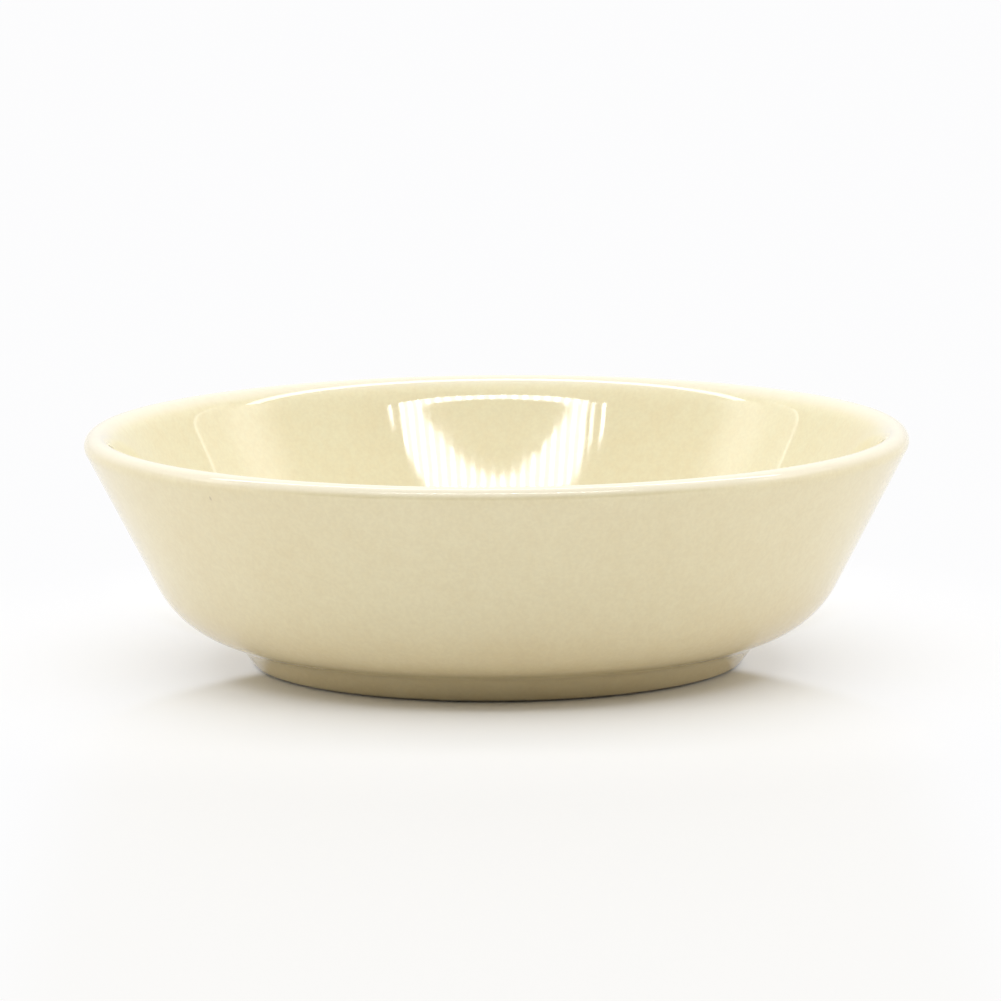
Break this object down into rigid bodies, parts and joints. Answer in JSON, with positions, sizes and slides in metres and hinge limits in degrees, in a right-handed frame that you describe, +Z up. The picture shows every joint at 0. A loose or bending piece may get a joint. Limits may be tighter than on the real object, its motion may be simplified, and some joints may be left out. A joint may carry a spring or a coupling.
{
  "type": "soy sauce dish",
  "caption": "Small round glazed stoneware dish with a flared wall, a full-round lip, a deep well and a bare foot ring, for soy sauce and other condiments.",
  "frame": {"origin": "middle of the foot ring, on the table", "axes": "+Z up along the dish's axis of turning; X and Y lie in the table, and the dish is the same all round"},
  "size_m": [0.09, 0.09, 0.0256],
  "materials": {
    "bare_clay": "fired stoneware, wiped bare and lightly ground on the standing ring",
    "sand_glaze": "glossy opaque sand-coloured glaze"
  },
  "bodies": {
    "root": {"clay_body": "bare_clay", "glaze_coat": "sand_glaze", "base_glaze": "sand_glaze"}
  },
  "joints": []
}
